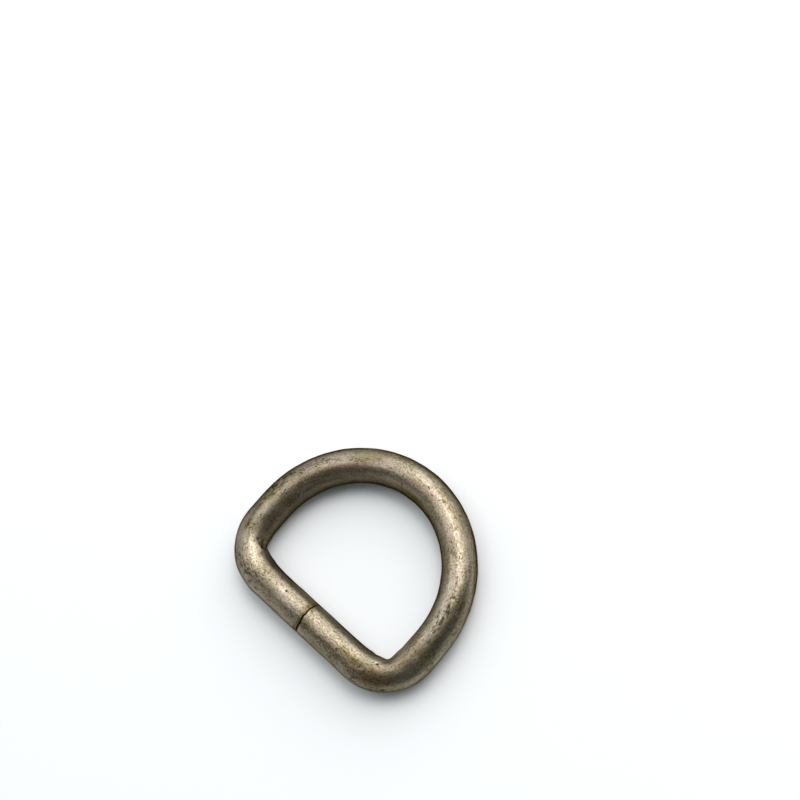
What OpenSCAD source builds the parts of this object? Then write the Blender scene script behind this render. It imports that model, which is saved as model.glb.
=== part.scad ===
/* [Opening] */
// Width of the strap that goes round the bar
strap_w = 25; // [16:0.5:50]
// Room between the strap and the leg, on each side
side_room = 0.5; // [0:0.1:2]
// Inside radius of the two corners
corner_r = 3.5; // [2:0.1:6]
// Length of the straight leg between each corner and the bow
leg_l = 2.8; // [0.5:0.1:20]

/* [Wire] */
// Diameter of the round wire
wire_d = 5; // [3:0.1:8]
// Open seam between the two cut ends, in the middle of the bar
seam_gap = 0.2; // [0.05:0.05:1]
// Chamfer round the rim of each cut end
end_chamfer = 0.2; // [0.05:0.05:0.6]

/* [Hidden] */
$fn = 96;

wire_r = wire_d / 2;
inner_w = strap_w + 2 * side_room;

// Radii and places of the middle of the wire, with the bar along y = 0
corner_mid_r = corner_r + wire_r;
bar_half = inner_w / 2 - corner_r;
leg_x = bar_half + corner_mid_r;
leg_top = corner_mid_r + leg_l;

// The bow is the half circle from the top of one leg to the top of the other
bow_r = leg_x;
crown_y = leg_top + bow_r;

// A stretch of wire bent round the z axis, from one angle through a turn
module bend(mid_r, from, turn) {
    rotate([0, 0, from])
        rotate_extrude(angle = turn)
            translate([mid_r, 0])
                circle(d = wire_d);
}

// The right half of the straight bar, with its chamfered end at the seam
module bar_right() {
    rotate([0, 90, 0]) {
        translate([0, 0, seam_gap / 2])
            cylinder(h = end_chamfer, r1 = wire_r - end_chamfer, r2 = wire_r);
        translate([0, 0, seam_gap / 2 + end_chamfer])
            cylinder(h = bar_half - seam_gap / 2 - end_chamfer, d = wire_d);
    }
}

module corner_right() {
    translate([bar_half, corner_mid_r, 0])
        bend(corner_mid_r, -90, 90);
}

module leg_right() {
    translate([leg_x, corner_mid_r, 0])
        rotate([-90, 0, 0])
            cylinder(h = leg_l, d = wire_d);
}

module right_side() {
    bar_right();
    corner_right();
    leg_right();
}

module bow() {
    translate([0, leg_top, 0])
        bend(bow_r, 0, 180);
}

// One length of round wire bent into a D, lying flat, with the origin under its middle
module wire_ring() {
    color([0.44, 0.41, 0.34])
        translate([0, -crown_y / 2, wire_r]) {
            right_side();
            mirror([1, 0, 0])
                right_side();
            bow();
        }
}

wire_ring();
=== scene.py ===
import math
from collections import namedtuple

import bpy
import numpy as np
from mathutils import Matrix, Vector


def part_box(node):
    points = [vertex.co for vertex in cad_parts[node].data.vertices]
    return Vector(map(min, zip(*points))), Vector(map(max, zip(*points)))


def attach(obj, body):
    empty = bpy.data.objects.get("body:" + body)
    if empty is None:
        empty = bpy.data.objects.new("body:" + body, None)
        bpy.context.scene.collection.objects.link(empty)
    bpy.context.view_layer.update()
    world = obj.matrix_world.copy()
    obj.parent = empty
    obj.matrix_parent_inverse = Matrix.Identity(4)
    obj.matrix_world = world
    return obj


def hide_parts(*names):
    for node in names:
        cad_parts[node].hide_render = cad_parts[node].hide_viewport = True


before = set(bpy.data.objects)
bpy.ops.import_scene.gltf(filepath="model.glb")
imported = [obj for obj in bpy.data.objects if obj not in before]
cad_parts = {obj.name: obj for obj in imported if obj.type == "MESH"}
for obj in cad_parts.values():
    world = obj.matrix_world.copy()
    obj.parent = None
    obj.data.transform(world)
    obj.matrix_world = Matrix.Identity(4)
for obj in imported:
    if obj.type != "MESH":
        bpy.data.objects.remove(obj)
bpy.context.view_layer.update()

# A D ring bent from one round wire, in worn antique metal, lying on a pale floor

MM = 0.001

# Sizes of the ring in metres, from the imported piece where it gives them. The wire's middle is as far from
# the origin at the crown as at the bar
RING_LOW, RING_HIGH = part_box("wire_ring")
WIRE_R = (RING_HIGH.z - RING_LOW.z) / 2
LEG_X = RING_HIGH.x - WIRE_R
BAR_Y = RING_LOW.y + WIRE_R
CROWN_Y = -BAR_Y
CORNER_R = 6 * MM
BOW_R = LEG_X
BAR_HALF = LEG_X - CORNER_R
LEG_LENGTH = CROWN_Y - BOW_R - BAR_Y - CORNER_R
SEAM_GAP = 0.06 * MM
END_ROUND = 0.12 * MM

# The cut at the seam isn't quite square. By angle in degrees: how far its middle is from the middle of the
# bar, and how much wider the gap is on each side, in mm
SEAM_ANGLES = (0, 23, 47, 63, 79, 95, 111, 135, 143, 160, 250, 330)
SEAM_MIDDLE = (-0.30, -0.24, -0.10, -0.05, -0.10, -0.19, -0.24, -0.28, -0.20, -0.32, 0.02, 0.00)
SEAM_WIDER = (0.08, 0.13, 0.11, 0.08, 0.07, 0.04, 0.02, 0.01, 0.04, 0.03, 0.01, 0.02)

# Small teeth on the cut: depth in mm, number round the wire and phase in radians
SEAM_TEETH = ((0.035, 11, 1), (0.02, 23, 0))

# Over about this length from the seam, the crookedness of the cut fades out and the slow waves begin
SEAM_FADE = 1.6 * MM

# Slow waves on the wire's surface: length along it in mm, number round it, phase in radians, and share
WAVES = ((7.3, 2, 0, 1.0), (4.1, -3, 1, 1.0), (2.3, 5, 2, 0.6))
WAVE_HEIGHT = 0.008 * MM

# Fineness of the mesh: the step along the wire, the steps over the rounding of a cut end, and the sides
STEP = 0.14 * MM
ROUND_STEPS = 4
SIDES = 120

# Camera, at the photograph's angle to the ring. It looks at a point beside the ring, which keeps the ring
# at the photograph's place in the frame. Angles are in degrees, lens and sensor in mm, and nothing nearer
# than the last value is seen
CAMERA_AZIMUTH = -6.560
CAMERA_ELEVATION = 65.783
CAMERA_ROLL = -42.621
CAMERA_DISTANCE = 315.01 * MM
LOOK_AT = Vector((-11.89, 19.34, 2.5)) * MM
LENS = 100
SENSOR = 36
NEAREST_SEEN = 10 * MM

# Studio lights, all at one distance from the ring in metres. Their places, half widths and half heights are
# angles in degrees, as the ring sees them
LIGHT_DISTANCE = 1.0
Softbox = namedtuple("Softbox", "name azimuth elevation half_width half_height radiance tint")
SOFTBOXES = [
    Softbox("key", 92, 66, 31, 20, 5.7, (1, 1, 1.02)),
    Softbox("back", 103.6, 36.5, 61.6, 42, 2.57, (0.99, 1, 1.01)),
    Softbox("left", 191.5, 57.6, 29.4, 39.2, 1.98, (0.98, 1, 1.01)),
    Softbox("low_left", 217, 17, 70, 29, 0.65, (0.98, 1, 1.02)),
]

# The dim room all round
ROOM_COLOUR = (0.82, 0.97, 1, 1)
ROOM_STRENGTH = 0.204

# Floor: half its side in metres, its colour and its roughness
FLOOR_HALF = 2.0
FLOOR_COLOUR = (0.80, 0.797, 0.796, 1)
FLOOR_ROUGHNESS = 0.6

# Colours of the metal and of what lies on it
DARK_METAL = (0.106, 0.081, 0.028, 1)
BRIGHT_METAL = (0.389, 0.335, 0.276, 1)
# The patina colour, which on some stains also stands for painted shade
PATINA = (0.066, 0.048, 0.014, 1)
# Patina on the D's inner side, which also stands for painted shade there
INSIDE_PATINA_AND_SHADE = (0.053, 0.046, 0.025, 1)
FLECK = (0.046, 0.034, 0.013, 1)
DARK_BRASS = (0.070, 0.053, 0.019, 1)
BRIGHT_BRASS = (0.260, 0.206, 0.085, 1)
RUST = (0.140, 0.083, 0.038, 1)
PIT = (0.055, 0.040, 0.022, 1)

# Tints that the metal's colour is multiplied by. The outer one is a painted reflection, cooling the outward
# side as if it mirrored the bluish shade on the floor. The last one is for metal seen at a flat angle
NO_TINT = (1, 1, 1, 1)
GREENER_TINT = (0.99, 1.003, 0.935, 1)
REDDER_TINT = (1.04, 0.988, 0.972, 1)
INNER_TINT = (0.99, 1.0, 0.97, 1)
OUTER_FLOOR_REFLECTION_TINT = (0.96, 1.0, 1.01, 1)
WARM_TINT = (1.16, 1.0, 0.96, 1)
FLAT_ANGLE_TINT = (0.15, 0.14, 0.115, 1)

# How far the relief in the material stands out
RELIEF = 0.025 * MM

Mark = namedtuple("Mark", "place angle length width height")
Stain = namedtuple("Stain", "kind place angle length width strength")
STAIN_KINDS = ("brass", "rust", "dark", "patina_and_shade", "bright", "warm")
Mottling = namedtuple("Mottling", "clouds patches streaks grain")

# Dents, pits and swellings. Places run along the wire from the seam, counterclockwise from above, in mm.
# Angles go round the wire: 0 faces outward, 90 up and 180 inward. Lengths along the wire and widths across
# it go from the middle of a mark to where it fades out, in mm as the heights are
MARKS = [
    # The inside of each corner is pressed in where the wire was bent, and swollen on the bar's side
    Mark(14.8, 172, 1.5, 2.4, -0.50),
    Mark(10.2, 180, 1.3, 1.8, 0.15),
    Mark(77.2, 190, 1.2, 2.4, -0.38),
    Mark(81.5, 186, 1.9, 1.8, 0.24),
    # The crease of the left corner, with a ridge beside it
    Mark(76.8, 160, 0.40, 0.9, -0.12),
    Mark(77.4, 140, 0.50, 0.5, -0.04),
    Mark(77.2, 139, 0.26, 0.24, -0.13),
    Mark(76.7, 146, 0.26, 0.26, -0.10),
    Mark(78.1, 149, 0.32, 0.24, -0.13),
    Mark(78.3, 148, 0.6, 0.9, 0.06),
    # The outside of the right corner is fuller, and that of the left corner a little drawn in
    Mark(18.8, -17, 3.4, 2.6, 0.10),
    Mark(81.2, 10, 1.0, 2.0, -0.09),
    # Small dents on the crown and the bow
    Mark(34.2, 100, 0.7, 0.5, -0.03),
    Mark(52.6, 80, 0.9, 0.6, -0.03),
    Mark(66.0, 95, 1.2, 0.7, -0.04),
    Mark(5.6, 70, 0.9, 0.7, -0.03),
    # Pits
    Mark(13.3, 113, 0.24, 0.22, -0.12),
    Mark(12.6, 118, 0.16, 0.14, -0.05),
    Mark(87.5, 112, 0.20, 0.20, -0.10),
]

# Stains, with places, angles, lengths and widths as above. Brass is dull yellow, rust brown, dark a thicker
# patina in flecks, patina a smooth darkening, bright a rubbed spot, and warm a browner tone. The two long
# patina rows on the bow's inner side and the patina rows at places 31 to 73 with angles up to 45 are
# painted shade, and the bright rows at angles 0 to 18 are a painted reflection of the lit floor
STAINS = [
    Stain("brass", 7.9, 99, 0.9, 0.45, 1.2),
    Stain("brass", 9.5, 91, 3.0, 0.9, 0.40),
    Stain("brass", 12.5, 80, 3.5, 1.3, 0.35),
    Stain("brass", 10.0, 96, 1.6, 0.40, 1.2),
    Stain("brass", 14.5, 90, 0.9, 0.35, 0.5),
    Stain("brass", 15.7, 122, 1.0, 0.45, 0.5),
    Stain("brass", 12.7, 147, 1.5, 0.5, 0.5),
    Stain("brass", 16.8, 107, 0.5, 0.2, 0.5),
    Stain("brass", 43.8, 149, 0.9, 0.4, 0.4),
    Stain("brass", 60.0, 41, 0.9, 0.3, 0.5),
    Stain("brass", 68.8, 100, 1.3, 0.9, 0.35),
    Stain("brass", 72.5, 67, 0.5, 0.4, 0.5),
    Stain("brass", 63.8, 43, 0.8, 0.3, 0.5),
    Stain("brass", 79.6, 138, 0.6, 0.3, 1.1),
    Stain("brass", 76.6, 128, 0.3, 0.3, 1.0),
    Stain("brass", 64.0, 84, 3.0, 0.5, 0.50),
    Stain("brass", 54.5, 80, 3.0, 0.5, 0.55),
    Stain("brass", 61.5, 73, 3.0, 0.6, 0.65),
    Stain("brass", 69.5, 80, 3.0, 0.8, 0.65),
    Stain("brass", 66.0, 110, 4.0, 0.8, 0.35),
    Stain("brass", 73.0, 108, 2.5, 0.8, 0.40),
    Stain("brass", 60.0, 104, 5.0, 0.7, 0.40),
    Stain("brass", 15.0, 72, 3.0, 1.2, 0.45),
    Stain("brass", 56.0, 95, 4.0, 0.8, 0.30),
    Stain("brass", 91.7, 122, 0.40, 1.0, 0.9),
    Stain("brass", 91.85, 76, 0.30, 0.9, 0.8),
    Stain("brass", 0.5, 115, 0.35, 0.35, 0.8),
    Stain("rust", 13.2, 90, 1.8, 0.6, 0.6),
    Stain("rust", 14.9, 125, 1.2, 1.0, 0.6),
    Stain("rust", 13.5, 60, 4.0, 1.6, 0.70),
    Stain("rust", 17.0, 88, 2.5, 1.2, 0.60),
    Stain("rust", 19.0, 92, 4.5, 0.8, 0.45),
    Stain("rust", 42.0, 118, 6.0, 0.8, 0.35),
    Stain("rust", 58.0, 40, 5.0, 0.5, 0.35),
    Stain("rust", 61.0, 116, 6.0, 0.9, 0.50),
    Stain("rust", 70.0, 124, 4.0, 0.9, 0.45),
    Stain("rust", 14.2, 141, 0.9, 0.4, 0.9),
    Stain("rust", 15.5, 95, 1.2, 0.9, 0.5),
    Stain("rust", 17.2, 133, 1.2, 0.5, 0.5),
    Stain("rust", 20.8, 130, 0.8, 0.7, 0.4),
    Stain("rust", 22.1, 84, 1.0, 0.4, 0.5),
    Stain("rust", 35.7, 10, 2.4, 0.5, 0.4),
    Stain("rust", 40.2, 142, 0.8, 0.7, 0.4),
    Stain("rust", 53.0, 37, 0.8, 0.5, 0.4),
    Stain("rust", 60.0, 41, 1.7, 0.3, 0.5),
    Stain("rust", 73.7, 137, 1.3, 1.2, 0.45),
    Stain("rust", 76.5, 149, 1.2, 0.8, 0.6),
    Stain("rust", 81.2, 162, 0.8, 0.6, 0.6),
    Stain("rust", 91.6, 143, 0.7, 1.6, 0.5),
    Stain("rust", 91.7, 34, 0.5, 0.8, 0.6),
    Stain("dark", 82.3, 64, 3.2, 1.4, 0.80),
    Stain("dark", 78.5, 96, 2.6, 1.6, 0.45),
    Stain("dark", 12.5, 62, 4.0, 1.6, 0.85),
    Stain("dark", 18.0, 80, 3.0, 0.9, 0.75),
    Stain("dark", 11.0, 106, 4.5, 1.0, 0.35),
    Stain("dark", 24.5, 83, 5.0, 0.8, 1.05),
    Stain("dark", 22.5, 122, 2.0, 1.0, 0.50),
    Stain("dark", 14.0, 128, 1.6, 0.9, 0.35),
    Stain("dark", 63.0, 88, 4.0, 0.7, 0.35),
    Stain("dark", 52.0, 92, 4.0, 0.9, 0.30),
    Stain("dark", 38.0, 100, 6.0, 1.4, 0.20),
    Stain("dark", 68.0, 66, 4.5, 1.0, 0.95),
    Stain("dark", 57.0, 70, 6.0, 0.8, 0.15),
    Stain("dark", 90.0, 62, 2.0, 2.2, 0.40),
    Stain("dark", 22.4, 87, 1.3, 0.22, 0.9),
    Stain("dark", 49.0, 78, 2.5, 0.5, 0.45),
    Stain("dark", 57.0, 84, 3.5, 0.4, 0.80),
    Stain("dark", 61.5, 80, 3.0, 0.4, 0.70),
    Stain("dark", 65.0, 66, 2.5, 0.6, 0.95),
    Stain("dark", 73.5, 60, 2.5, 0.5, 0.50),
    Stain("dark", 25.4, 85, 1.5, 0.24, 1.1),
    Stain("dark", 28.1, 80, 1.0, 0.22, 0.7),
    Stain("dark", 30.3, 79, 0.4, 0.2, 0.9),
    Stain("dark", 42.1, 71, 0.5, 0.25, 0.9),
    Stain("dark", 45.0, 80, 0.7, 0.25, 0.8),
    Stain("dark", 50.4, 83, 0.8, 0.25, 0.9),
    Stain("dark", 52.5, 78, 0.8, 0.25, 0.8),
    Stain("dark", 66.5, 76, 0.8, 0.45, 0.7),
    Stain("dark", 69.3, 75, 0.8, 0.35, 0.7),
    Stain("dark", 74.9, 80, 0.8, 0.4, 0.9),
    Stain("dark", 77.1, 150, 0.8, 0.5, 1.0),
    Stain("dark", 77.9, 145, 1.0, 0.35, 1.5),
    Stain("dark", 82.2, 83, 1.2, 0.45, 0.8),
    Stain("dark", 83.5, 70, 1.2, 0.4, 0.7),
    Stain("dark", 16.0, 101, 0.8, 0.3, 0.7),
    Stain("dark", 28.1, 140, 0.7, 0.2, 0.7),
    Stain("dark", 8.3, 43, 0.5, 0.25, 0.6),
    Stain("dark", 13.3, 113, 0.18, 0.16, 2.0),
    Stain("dark", 12.6, 118, 0.14, 0.12, 1.5),
    Stain("dark", 87.5, 112, 0.16, 0.15, 2.0),
    Stain("patina_and_shade", 77.2, 139, 0.26, 0.24, 1.0),
    Stain("patina_and_shade", 76.7, 146, 0.28, 0.26, 1.0),
    Stain("patina_and_shade", 78.1, 149, 0.38, 0.24, 1.0),
    Stain("patina_and_shade", 78.7, 157, 0.36, 0.22, 0.9),
    Stain("patina_and_shade", 13.3, 113, 0.24, 0.20, 1.0),
    Stain("patina_and_shade", 12.6, 118, 0.16, 0.14, 0.8),
    Stain("patina_and_shade", 87.5, 112, 0.22, 0.18, 0.9),
    Stain("patina_and_shade", 16.5, 38, 3.0, 0.7, 0.45),
    Stain("patina_and_shade", 4.5, 38, 3.0, 0.6, 0.35),
    Stain("patina_and_shade", 75.5, 98, 1.5, 0.8, 0.20),
    # The next two rows are painted shade on the bow's inner side
    Stain("patina_and_shade", 38.0, 158, 11.0, 1.2, 0.55),
    Stain("patina_and_shade", 37.0, 140, 5.0, 0.7, 0.20),
    Stain("patina_and_shade", 11.3, 84, 4.2, 0.9, 0.28),
    # Painted shade on the bow's lower outward side
    Stain("patina_and_shade", 64.2, 45, 8.5, 0.7, 0.5),
    Stain("patina_and_shade", 24.9, 78, 3.6, 0.8, 0.18),
    Stain("patina_and_shade", 26.0, 24, 3.0, 0.8, 0.30),
    # Painted shade on the bow's lower outward side
    Stain("patina_and_shade", 31.0, -2, 2.2, 1.0, 0.60),
    Stain("patina_and_shade", 0.8, 80, 1.5, 0.5, 0.35),
    Stain("patina_and_shade", 90.2, 60, 1.8, 0.7, 0.30),
    # Painted shade on the left leg's lower outward side
    Stain("patina_and_shade", 72.5, 38, 3.0, 0.9, 0.65),
    Stain("patina_and_shade", 23.5, 61, 5.0, 0.9, 0.80),
    Stain("patina_and_shade", 15.0, 50, 4.5, 1.3, 0.35),
    Stain("patina_and_shade", 67.5, 64, 4.5, 0.9, 0.20),
    # The next two rows are painted shade on the bow's lower outward side
    Stain("patina_and_shade", 63.5, 30, 11.0, 1.10, 1.00),
    Stain("patina_and_shade", 46.0, 12, 9.0, 1.3, 0.95),
    Stain("patina_and_shade", 20.0, 38, 4.0, 0.8, 0.45),
    Stain("patina_and_shade", 28.0, 44, 3.0, 0.8, 0.60),
    Stain("patina_and_shade", 84.8, 82, 2.5, 0.6, 0.45),
    Stain("patina_and_shade", 2.5, 143, 4.5, 0.5, 0.45),
    Stain("patina_and_shade", 20.5, 77, 2.0, 0.7, 0.55),
    Stain("patina_and_shade", 73.0, 132, 2.5, 0.8, 0.30),
    Stain("patina_and_shade", 84.5, 121, 2.5, 0.5, 0.30),
    Stain("patina_and_shade", 89.6, 143, 3.0, 0.5, 0.30),
    Stain("patina_and_shade", 29.0, 140, 4.0, 0.6, 0.45),
    Stain("patina_and_shade", 45.5, 142, 2.5, 0.6, 0.75),
    Stain("patina_and_shade", 54.0, 66, 3.5, 1.2, 0.50),
    Stain("patina_and_shade", 46.0, 101, 3.0, 0.5, 0.30),
    Stain("patina_and_shade", 38.0, 54, 3.0, 0.9, 0.40),
    # Painted shade on the bow's lower outward side
    Stain("patina_and_shade", 36.0, -4, 4.5, 1.2, 0.85),
    Stain("patina_and_shade", 74.3, 73, 2.6, 0.6, 0.5),
    # Painted shade on the bow's lower outward side
    Stain("patina_and_shade", 45.7, 24, 4.6, 0.5, 0.4),
    Stain("patina_and_shade", 18.4, 77, 1.8, 0.5, 0.4),
    Stain("patina_and_shade", 84.5, 160, 3.2, 0.5, 0.2),
    # Painted shade on the bow's lower outward side
    Stain("patina_and_shade", 36.0, 12, 3.0, 0.5, 0.4),
    Stain("patina_and_shade", 91.90, 100, 0.20, 6.0, 0.8),
    Stain("patina_and_shade", 91.8, 32, 0.4, 0.7, 0.6),
    Stain("patina_and_shade", 34.65, 100, 0.25, 0.20, 0.5),
    Stain("patina_and_shade", 34.35, 92, 0.25, 0.22, 0.6),
    Stain("patina_and_shade", 34.0, 85, 0.25, 0.22, 0.55),
    Stain("patina_and_shade", 33.5, 79, 0.28, 0.20, 0.55),
    Stain("patina_and_shade", 33.1, 75, 0.30, 0.18, 0.55),
    Stain("patina_and_shade", 32.6, 72, 0.35, 0.16, 0.6),
    Stain("patina_and_shade", 32.0, 74, 0.35, 0.14, 0.5),
    Stain("bright", 30.0, 93, 1.6, 0.5, 0.9),
    Stain("bright", 24.6, 88, 3.0, 0.9, 1.4),
    Stain("bright", 12.8, 124, 1.5, 0.8, 1.0),
    # Painted reflection of the lit floor on the lower outward rim
    Stain("bright", 25.0, 2, 2.0, 0.9, 0.8),
    Stain("bright", 32.5, 80, 2.0, 0.8, 0.6),
    Stain("bright", 4.2, 104, 3.5, 0.9, 0.45),
    Stain("bright", 89.6, 102, 2.0, 0.9, 0.45),
    Stain("bright", 78.0, 138, 1.8, 0.6, 1.1),
    Stain("bright", 25.0, 102, 3.0, 0.7, 0.9),
    Stain("bright", 14.0, 102, 2.5, 0.6, 0.5),
    Stain("bright", 17.6, 121, 2.0, 0.7, 0.9),
    Stain("bright", 76.0, 48, 2.2, 1.1, 1.6),
    Stain("bright", 81.5, 45, 2.6, 1.2, 1.2),
    Stain("bright", 72.2, 101, 1.8, 0.7, 0.9),
    # The next three rows are a painted reflection of the lit floor on the lower outward rim
    Stain("bright", 12.5, 18, 4.0, 1.0, 0.8),
    Stain("bright", 6.5, 15, 4.5, 0.9, 2.2),
    Stain("bright", 90.0, 18, 3.5, 1.0, 1.8),
    Stain("bright", 55.0, 138, 6.0, 0.5, 0.8),
    Stain("bright", 90.0, 163, 3.0, 0.7, 1.0),
    Stain("bright", 1.5, 163, 2.5, 0.7, 0.8),
    Stain("bright", 37.5, 142, 3.0, 0.6, 0.8),
    Stain("bright", 77.5, 165, 2.5, 0.6, 0.8),
    # The next three rows are a painted reflection of the lit floor on the lower outward rim
    Stain("bright", 22.5, 0, 3.0, 1.1, 1.6),
    Stain("bright", 15.0, 0, 4.0, 1.0, 1.1),
    Stain("bright", 83.0, 18, 4.0, 1.0, 2.5),
    Stain("bright", 15.0, 142, 2.5, 0.6, 0.8),
    Stain("bright", 0.25, 108, 0.18, 1.0, 1.2),
    Stain("bright", 26.3, 122, 2.2, 0.6, 1.0),
    Stain("bright", 17.8, 141, 2.4, 0.6, 1.4),
    Stain("bright", 46.0, 68, 2.4, 1.0, 0.6),
    Stain("bright", 60.5, 62, 3.2, 1.2, 1.8),
    Stain("bright", 52.0, 82, 1.5, 0.7, 0.8),
    Stain("bright", 68.5, 78, 1.5, 0.7, 0.5),
    Stain("bright", 23.6, 105, 1.0, 0.3, 0.8),
    Stain("bright", 37.5, 87, 0.6, 0.4, 0.8),
    Stain("bright", 39.2, 86, 0.7, 0.25, 0.6),
    Stain("bright", 11.5, 136, 0.6, 0.4, 0.6),
    Stain("bright", 15.5, 141, 2.2, 0.5, 0.5),
    Stain("bright", 77.9, 118, 1.2, 0.5, 0.7),
    Stain("bright", 82.3, 141, 0.6, 0.4, 0.7),
    Stain("bright", 45.1, 39, 1.3, 0.25, 0.6),
    Stain("bright", 67.0, 121, 6.0, 0.6, 0.25),
    Stain("bright", 85.0, 141, 2.0, 0.6, 0.5),
    Stain("bright", 75.6, 140, 0.8, 0.5, 0.8),
    Stain("bright", 80.0, 124, 1.5, 0.7, 0.5),
    Stain("warm", 60.5, 119, 9.0, 0.95, 0.85),
    Stain("warm", 71.0, 136, 4.0, 0.8, 0.75),
    Stain("warm", 42.5, 100, 6.0, 0.7, 0.35),
    Stain("warm", 16.0, 88, 4.0, 1.3, 0.20),
    Stain("warm", 17.0, 142, 2.0, 0.8, 0.5),
]


def stretches():
    """The D from the seam on: the length and the turning radius of each stretch, 0 where it is straight."""
    quarter = math.pi / 2 * CORNER_R
    return [
        (BAR_HALF, 0),
        (quarter, CORNER_R),
        (LEG_LENGTH, 0),
        (math.pi * BOW_R, BOW_R),
        (LEG_LENGTH, 0),
        (quarter, CORNER_R),
        (BAR_HALF, 0),
    ]


WIRE_LENGTH = sum(length for length, _ in stretches())


def route(places):
    """The middle of the wire and its heading at each place along it."""
    middle = np.zeros((len(places), 3))
    heading = np.zeros((len(places), 3))
    begin = 0.0
    corner = np.array([0.0, BAR_Y])
    turned = 0.0
    for length, radius in stretches():
        here = (places >= begin) & (places <= begin + length)
        went = np.append(places[here] - begin, length)
        angle = turned + (went / radius if radius else 0 * went)
        if radius:
            x = radius * (np.sin(angle) - math.sin(turned))
            y = radius * (math.cos(turned) - np.cos(angle))
        else:
            x = went * math.cos(turned)
            y = went * math.sin(turned)
        middle[here, 0] = corner[0] + x[:-1]
        middle[here, 1] = corner[1] + y[:-1]
        middle[here, 2] = WIRE_R
        heading[here, 0] = np.cos(angle[:-1])
        heading[here, 1] = np.sin(angle[:-1])
        corner = corner + np.array([x[-1], y[-1]])
        turned = angle[-1]
        begin += length
    return middle, heading


def from_seam(places):
    """How far each place is from the seam, the shorter way along the wire."""
    return np.minimum(places, WIRE_LENGTH - places)


def falloff(places, angles, mark):
    """How much of a mark or stain is at each place and angle, from 0 to 1."""
    around = WIRE_LENGTH / MM
    along = (places / MM - mark.place + around / 2) % around - around / 2
    turn = (angles - math.radians(mark.angle) + math.pi) % (2 * math.pi) - math.pi
    across = turn * WIRE_R / MM
    return np.exp(-((along / mark.length) ** 2) - (across / mark.width) ** 2)


def waviness(places, angles):
    """Slow unevenness of the surface, about a hundredth of the wire's radius, and none at the seam."""
    waves = 0.0
    for length, number, phase, share in WAVES:
        waves = waves + share * np.sin(places / MM * 2 * math.pi / length + number * angles + phase)
    return WAVE_HEIGHT * waves * np.minimum(from_seam(places) / SEAM_FADE, 1)


def radius_at(places, angles, drawn):
    """The wire's radius, with its marks and waves, and drawn in at its cut ends."""
    radius = WIRE_R - drawn
    for mark in MARKS:
        radius = radius + mark.height * MM * falloff(places, angles, mark)
    return radius + waviness(places, angles)


def crooked_cut(places, angles):
    """How far the surface is moved along the wire, because the cut at the seam is crooked."""
    degrees = np.degrees(angles) % 360
    cut = np.interp(degrees, SEAM_ANGLES, SEAM_MIDDLE, period=360)
    for depth, number, phase in SEAM_TEETH:
        cut = cut + depth * np.sin(number * angles + phase)
    away = np.where(places < WIRE_LENGTH / 2, 1, -1)
    cut = cut + away * np.interp(degrees, SEAM_ANGLES, SEAM_WIDER, period=360)
    return cut * MM * np.exp(-((from_seam(places) / SEAM_FADE) ** 2))


def stain_at(kind, places, angles):
    """How strong one kind of stain is at each place and angle."""
    amount = np.zeros(places.shape)
    for stain in STAINS:
        if stain.kind == kind:
            amount = np.maximum(amount, stain.strength * falloff(places, angles, stain))
    return amount


def sections():
    """The places of the sections from one cut end to the other, and how far each one's rim is drawn in."""
    turn = np.linspace(0, math.pi / 2, ROUND_STEPS + 1)
    start_places = SEAM_GAP / 2 + END_ROUND * (1 - np.cos(turn))
    start_drawn = END_ROUND * (1 - np.sin(turn))
    count = round((WIRE_LENGTH - SEAM_GAP - 2 * END_ROUND) / STEP)
    body = np.linspace(start_places[-1], WIRE_LENGTH - start_places[-1], count + 1)
    places = np.concatenate([start_places, body[1:-1], WIRE_LENGTH - start_places[::-1]])
    drawn = np.concatenate([start_drawn, 0 * body[1:-1], start_drawn[::-1]])
    return places, drawn


def ring_faces(rows):
    """Faces between the sections, and a fan on each cut end round one of the last two points."""
    faces = []
    for here in range(0, (rows - 1) * SIDES, SIDES):
        beyond = here + SIDES
        for side in range(SIDES):
            other = (side + 1) % SIDES
            faces.append((here + other, here + side, beyond + side, beyond + other))
    last = (rows - 1) * SIDES
    centre = rows * SIDES
    start_fan = [(centre, side, (side + 1) % SIDES) for side in range(SIDES)]
    end_fan = [(centre + 1, last + (side + 1) % SIDES, last + side) for side in range(SIDES)]
    return faces + start_fan + end_fan


def keep_on_points(mesh, name, kind, field, values):
    """Values kept on the mesh's points, for the material."""
    layer = mesh.attributes.new(name, kind, "POINT")
    layer.data.foreach_set(field, values.astype(np.float32).ravel())


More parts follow.
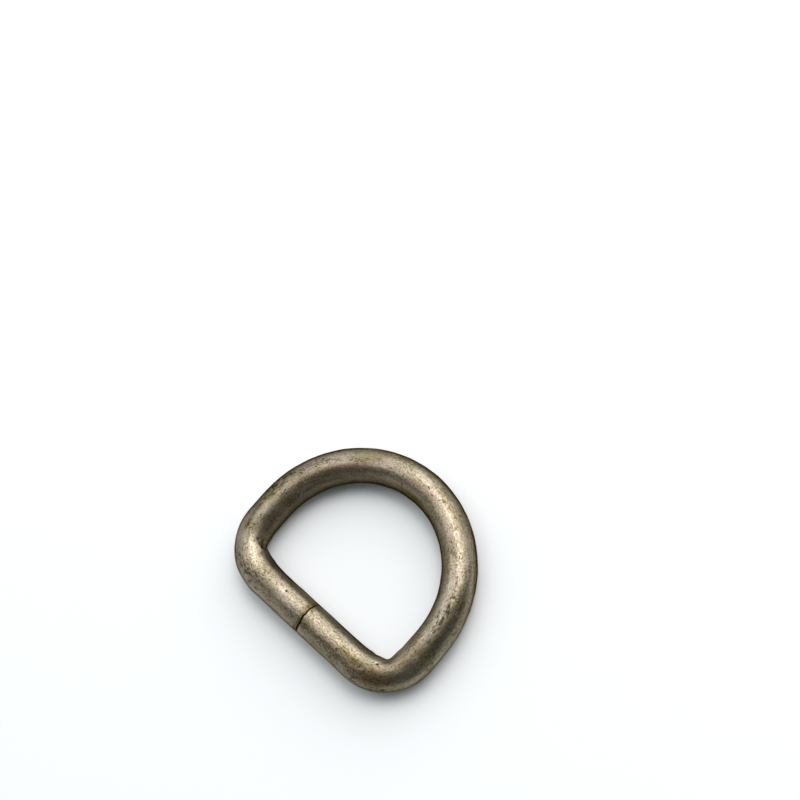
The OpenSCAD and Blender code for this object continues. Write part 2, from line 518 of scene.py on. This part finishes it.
def ring_mesh():
    """The wire swept round the D with its marks, closed at both cut ends and nowhere below the floor."""
    places, drawn = sections()
    middle, heading = route(places)
    outward = np.stack([heading[:, 1], -heading[:, 0], heading[:, 2]], axis=1)
    up = np.array([0.0, 0.0, 1.0])
    angles = np.linspace(0, 2 * math.pi, SIDES, endpoint=False) - math.pi / 2
    place, angle = np.meshgrid(places, angles, indexing="ij")
    radius = radius_at(place, angle, drawn[:, None])
    moved = crooked_cut(place, angle)
    side = np.cos(angle)[..., None] * outward[:, None, :] + np.sin(angle)[..., None] * up
    points = middle[:, None, :] + radius[..., None] * side + moved[..., None] * heading[:, None, :]
    points[..., 2] = np.maximum(points[..., 2], 0)
    end_middles = [middle[row] + moved[row].mean() * heading[row] for row in (0, -1)]
    mesh = bpy.data.meshes.new("wire_ring_dressed")
    mesh.from_pydata(np.concatenate([points.reshape(-1, 3), end_middles]), [], ring_faces(len(places)))
    mesh.shade_smooth()

    # Each point's place in mm as if the wire were straight: along the wire, outward from the D, and up.
    # The middles of the cut ends have patina alone, partly for patina on the old cut faces and partly as
    # painted shade in the narrow seam gap
    straight = np.stack([place, WIRE_R * np.cos(angle), WIRE_R * np.sin(angle)], axis=-1) / MM
    straight = np.concatenate([straight.reshape(-1, 3), np.zeros((len(end_middles), 3))])
    keep_on_points(mesh, "straight", "FLOAT_VECTOR", "vector", straight)
    for kind in STAIN_KINDS:
        on_ends = [1.0 if kind == "patina_and_shade" else 0.0] * len(end_middles)
        keep_on_points(mesh, kind, "FLOAT", "value", np.append(stain_at(kind, place, angle), on_ends))
    mesh.update()
    return mesh


class Shading:
    """Short names for the nodes that the materials and lights use, in one node tree."""

    # Which of the mix node's sockets are its amount, its two colours and the colour that comes out
    AMOUNT, FIRST, SECOND, RESULT = 0, 6, 7, 2

    def __init__(self, tree):
        self.tree = tree

    def add(self, kind, settings=None, **inputs):
        """A new node. A link is given as a socket, and any other value is set on the input."""
        node = self.tree.nodes.new(kind)
        for name, value in (settings or {}).items():
            setattr(node, name, value)
        for name, value in inputs.items():
            self.put(node.inputs[name], value)
        return node

    def put(self, socket, value):
        """A link or a value for a socket."""
        if isinstance(value, bpy.types.NodeSocket):
            self.tree.links.new(value, socket)
        else:
            socket.default_value = value

    def math(self, operation, first, second=0.0, third=0.0):
        """What an operation makes of two or three values."""
        node = self.add("ShaderNodeMath", {"operation": operation})
        for socket, value in zip(node.inputs, (first, second, third)):
            self.put(socket, value)
        return node.outputs[0]

    def total(self, start, *terms):
        """The start, with each value times its share added to it."""
        for value, share in terms:
            start = self.math("MULTIPLY_ADD", value, share, start)
        return start

    def attribute(self, name, output="Fac"):
        """Values kept on the mesh's points."""
        return self.add("ShaderNodeAttribute", {"attribute_name": name}).outputs[output]

    def axis(self, vector, name):
        """One axis of a vector."""
        return self.add("ShaderNodeSeparateXYZ", Vector=vector).outputs[name]

    def noise(self, place, along, scale, detail, roughness=0.5):
        """Noise whose grains are longer along the wire than across it, where along is less than 1."""
        longer = self.add("ShaderNodeVectorMath", {"operation": "MULTIPLY"})
        self.put(longer.inputs[0], place)
        self.put(longer.inputs[1], (along, 1, 1))
        node = self.add("ShaderNodeTexNoise", Vector=longer.outputs["Vector"], Scale=scale, Detail=detail)
        node.inputs["Roughness"].default_value = roughness
        return node.outputs["Fac"]

    def fade(self, value, low, high, out_low=0.0, out_high=1.0):
        """The value spread smoothly from one range to another."""
        node = self.add("ShaderNodeMapRange", {"interpolation_type": "SMOOTHSTEP"}, Value=value)
        limits = {"From Min": low, "From Max": high, "To Min": out_low, "To Max": out_high}
        for name, number in limits.items():
            node.inputs[name].default_value = number
        return node.outputs["Result"]

    def mix(self, blending, amount, first, second):
        """Two colours made into one."""
        node = self.add("ShaderNodeMix", {"data_type": "RGBA", "blend_type": blending})
        for number, value in ((self.AMOUNT, amount), (self.FIRST, first), (self.SECOND, second)):
            self.put(node.inputs[number], value)
        return node.outputs[self.RESULT]

    def blend(self, amount, first, second):
        """Two colours mixed."""
        return self.mix("MIX", amount, first, second)

    def tinted(self, first, second):
        """Two colours multiplied."""
        return self.mix("MULTIPLY", 1.0, first, second)


def mottling(shade, place):
    """Noise of four sizes: clouds of some mm, patches and streaks that follow the wire, and fine grain."""
    clouds = shade.noise(place, along=0.35, scale=0.6, detail=2.0)
    patches = shade.noise(place, along=0.35, scale=2.0, detail=4.0, roughness=0.6)
    streaks = shade.noise(place, along=0.16, scale=6.0, detail=2.0, roughness=0.6)
    grain = shade.noise(place, along=0.8, scale=4.4, detail=3.0, roughness=0.65)
    return Mottling(clouds, patches, streaks, grain)


def slanting_scratches(shade, place):
    """Fine scratches in two directions, each at a slant to the wire."""
    scratches = 0.0
    for slant, scale in ((28, 7.0), (-41, 6.0)):
        turning = {"rotation_type": "Z_AXIS"}
        turned = shade.add("ShaderNodeVectorRotate", turning, Vector=place, Angle=math.radians(slant))
        thin = shade.noise(turned.outputs["Vector"], along=0.08, scale=scale, detail=1.0)
        scratches = shade.math("MAXIMUM", shade.fade(thin, 0.66, 0.76), scratches)
    return scratches


def rubbed_metal_and_reflection(shade, noises, scratches):
    """Dark metal that is bright where it is rubbed, and on the lower outward rim, where bright stains are a
    painted reflection of the lit floor.
    """
    rubbed_and_reflection = shade.total(
        0.0,
        (noises.grain, 0.96),
        (noises.patches, 0.25),
        (noises.streaks, 0.22),
        (noises.clouds, 0.40),
        (shade.attribute("bright"), 0.16),
        (scratches, 0.17),
    )
    return shade.blend(shade.fade(rubbed_and_reflection, 0.668, 1.160), DARK_METAL, BRIGHT_METAL)


def under_patina_and_shade(shade, metal, outward):
    """Patina, thicker in some places and darkest inside the D, partly patina where nothing rubs it off
    and partly painted shade. Some of the patina stains are painted shade as well. Gives the metal, and how
    much patina and painted shade there is."""
    patina_and_shade = shade.attribute("patina_and_shade")
    metal = shade.blend(patina_and_shade, metal, PATINA)
    unrubbed = shade.total(1.0, (shade.attribute("bright"), -0.45))
    # Painted shade with patina: the D's inner side is darkened, less where it is rubbed bright
    inside = shade.math("MULTIPLY", shade.fade(outward, -1.6, -2.45, 0.0, 0.75), unrubbed)
    return shade.blend(inside, metal, INSIDE_PATINA_AND_SHADE), shade.math("MAXIMUM", inside, patina_and_shade)


def warmer_and_cooler(shade, metal, place, outward):
    """Slight changes of tone: from place to place, from the inner side to the outer, where a cooler tint is
    a painted reflection of the bluish shade on the floor, and in warm stains.
    """
    tinge = shade.noise(place, along=0.5, scale=0.9, detail=2.0)
    metal = shade.tinted(metal, shade.blend(shade.fade(tinge, 0.35, 0.65), GREENER_TINT, REDDER_TINT))
    inner = shade.fade(outward, 0.0, -1.5)
    # Painted reflection: the outward side is cooled as if it mirrored the bluish shade on the floor
    outer = shade.fade(outward, 0.8, 2.4)
    for amount, tint in ((inner, INNER_TINT), (outer, OUTER_FLOOR_REFLECTION_TINT), (shade.attribute("warm"), WARM_TINT)):
        metal = shade.tinted(metal, shade.blend(amount, NO_TINT, tint))
    return metal


def with_flecks(shade, metal, place, outward, noises):
    """Fine dark speckles, and larger flecks along the wire. Both gather in dark stains, and elsewhere they
    are fainter on the D's inner side. Gives the metal, and where they are."""
    dark = shade.attribute("dark")
    strength = shade.math("MAXIMUM", shade.fade(outward, -1.5, -0.2, 0.55, 1.15), dark)
    speckle_noise = shade.noise(place, along=0.75, scale=3.1, detail=1.5, roughness=0.55)
    density = shade.total(0.0, (noises.clouds, -0.45), (dark, 0.13))
    speckle = shade.fade(shade.math("ADD", speckle_noise, density), 0.415, 0.52)
    depth = shade.math("MAXIMUM", shade.fade(noises.patches, 0.60, 0.38, 0.45, 1.0), dark)
    speckle = shade.math("MULTIPLY", shade.math("MULTIPLY", speckle, depth), strength)
    metal = shade.blend(shade.math("MULTIPLY", speckle, 0.85), metal, FLECK)
    fleck_noise = shade.noise(place, along=0.4, scale=2.6, detail=4.0, roughness=0.75)
    flecks = shade.fade(shade.total(fleck_noise, (dark, 0.22)), 0.62, 0.80)
    flecks = shade.math("MULTIPLY", flecks, strength)
    metal = shade.blend(shade.math("MULTIPLY", flecks, 0.75), metal, FLECK)
    return metal, shade.math("MAXIMUM", flecks, speckle)


def with_stains(shade, metal, noises):
    """Dull yellow and rust brown stains, broken up by the grain. Gives the metal, and where they are."""
    broken = shade.total(0.0, (noises.patches, 0.4), (noises.grain, 0.6))
    brass = shade.fade(shade.total(broken, (shade.attribute("brass"), 0.24)), 0.60, 0.68)
    yellow = shade.blend(shade.fade(noises.streaks, 0.47, 0.60), DARK_BRASS, BRIGHT_BRASS)
    metal = shade.blend(shade.math("MULTIPLY", brass, 0.9), metal, yellow)
    rust = shade.fade(shade.total(broken, (shade.attribute("rust"), 0.26)), 0.60, 0.70)
    metal = shade.blend(shade.math("MULTIPLY", rust, 0.65), metal, RUST)
    return metal, shade.math("MAXIMUM", rust, brass)


def with_pits(shade, metal, place):
    """Larger pits of many sizes, far apart. Gives the metal, and where they are."""
    cells = shade.add("ShaderNodeTexVoronoi", Vector=place, Scale=0.8)
    size = shade.axis(cells.outputs["Color"], "X")
    pits = shade.fade(shade.total(cells.outputs["Distance"], (size, -0.13)), 0.02, -0.05)
    return shade.blend(shade.math("MULTIPLY", pits, 0.7), metal, PIT), pits


def new_material(name):
    """A new material with plain settings, and its shader."""
    material = bpy.data.materials.new(name)
    material.use_nodes = True
    return material, material.node_tree.nodes["Principled BSDF"]


def antique_metal():
    """Warm grey metal under a thin brown patina, rubbed brighter where it was handled, with flecks, stains
    and pits. Painted shade darkens the D's inner side and parts of the bow's lower outward side, and a
    painted reflection of the floor lightens the lower outward rim and cools the outward side."""
    material, shader = new_material("antique_metal")
    shade = Shading(material.node_tree)
    place = shade.attribute("straight", "Vector")
    outward = shade.axis(place, "Y")
    noises = mottling(shade, place)
    scratches = slanting_scratches(shade, place)

    metal = rubbed_metal_and_reflection(shade, noises, scratches)
    metal, patina_and_shade_amount = under_patina_and_shade(shade, metal, outward)
    metal = warmer_and_cooler(shade, metal, place, outward)
    metal, flecks = with_flecks(shade, metal, place, outward, noises)
    metal, stains = with_stains(shade, metal, noises)
    metal, pits = with_pits(shade, metal, place)

    roughness = shade.total(
        0.42,
        (noises.grain, -0.10),
        (noises.patches, -0.12),
        (stains, 0.12),
        (flecks, 0.10),
        (patina_and_shade_amount, 0.08),
    )
    height = shade.total(
        noises.grain,
        (noises.streaks, 0.4),
        (noises.patches, 0.8),
        (flecks, -0.5),
        (pits, -1.1),
        (scratches, -0.25),
    )
    bump = shade.add("ShaderNodeBump", Strength=1.0, Distance=RELIEF, Height=height)

    shade.put(shader.inputs["Base Color"], metal)
    shade.put(shader.inputs["Roughness"], roughness)
    shade.put(shader.inputs["Normal"], bump.outputs["Normal"])
    shader.inputs["Metallic"].default_value = 1
    shader.inputs["Specular Tint"].default_value = FLAT_ANGLE_TINT
    return material


def add_object(name, data):
    """A new object in the scene."""
    thing = bpy.data.objects.new(name, data)
    bpy.context.collection.objects.link(thing)
    return thing


def make_ring():
    ring = add_object("wire_ring_dressed", ring_mesh())
    ring.data.materials.append(antique_metal())
    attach(ring, "root")
    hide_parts("wire_ring")


def make_floor():
    corners = [(x * FLOOR_HALF, y * FLOOR_HALF, 0) for x, y in ((-1, -1), (1, -1), (1, 1), (-1, 1))]
    mesh = bpy.data.meshes.new("floor")
    mesh.from_pydata(corners, [], [(0, 1, 2, 3)])
    floor = add_object("floor", mesh)
    material, shader = new_material("pale_floor")
    shader.inputs["Base Color"].default_value = FLOOR_COLOUR
    shader.inputs["Roughness"].default_value = FLOOR_ROUGHNESS
    mesh.materials.append(material)


def facing(azimuth, elevation):
    """The way from the ring to an azimuth, counted from +x towards +y, and an elevation, and the turn that
    looks back from there."""
    turned = math.radians(azimuth)
    raised = math.radians(elevation)
    level = math.cos(raised)
    back = Vector((math.cos(turned) * level, math.sin(turned) * level, math.sin(raised)))
    return back, back.to_track_quat("Z", "Y").to_matrix().to_4x4()


def make_light(box):
    """A studio light that faces the ring and fades from its middle to its edges."""
    data = bpy.data.lights.new(box.name, "AREA")
    data.shape = "RECTANGLE"
    data.size = 2 * LIGHT_DISTANCE * math.tan(math.radians(box.half_width))
    data.size_y = 2 * LIGHT_DISTANCE * math.tan(math.radians(box.half_height))
    data.energy = box.radiance * math.pi * data.size * data.size_y
    data.color = box.tint
    data.use_nodes = True
    shade = Shading(data.node_tree)
    across = shade.add("ShaderNodeNewGeometry").outputs["Parametric"]
    from_middle = shade.add("ShaderNodeVectorMath", {"operation": "DISTANCE"})
    shade.put(from_middle.inputs[0], across)
    shade.put(from_middle.inputs[1], (0.5, 0.5, 0))
    strength = shade.fade(from_middle.outputs["Value"], 0.5, 0.05)
    shade.put(data.node_tree.nodes["Emission"].inputs["Strength"], strength)
    back, turn = facing(box.azimuth, box.elevation)
    light = add_object(box.name, data)
    light.matrix_world = Matrix.Translation(back * LIGHT_DISTANCE) @ turn


def make_room_light():
    world = bpy.data.worlds.new("dim_room")
    bpy.context.scene.world = world
    world.use_nodes = True
    background = world.node_tree.nodes["Background"]
    background.inputs["Color"].default_value = ROOM_COLOUR
    background.inputs["Strength"].default_value = ROOM_STRENGTH


def make_camera():
    data = bpy.data.cameras.new("camera")
    data.lens = LENS
    data.sensor_width = SENSOR
    data.clip_start = NEAREST_SEEN
    camera = add_object("camera", data)
    back, turn = facing(CAMERA_AZIMUTH, CAMERA_ELEVATION)
    roll = Matrix.Rotation(math.radians(CAMERA_ROLL), 4, "Z")
    camera.matrix_world = Matrix.Translation(LOOK_AT + back * CAMERA_DISTANCE) @ turn @ roll
    bpy.context.scene.camera = camera


bpy.context.scene.view_settings.view_transform = "Standard"
make_camera()
make_ring()
make_floor()
for softbox in SOFTBOXES:
    make_light(softbox)
make_room_light()
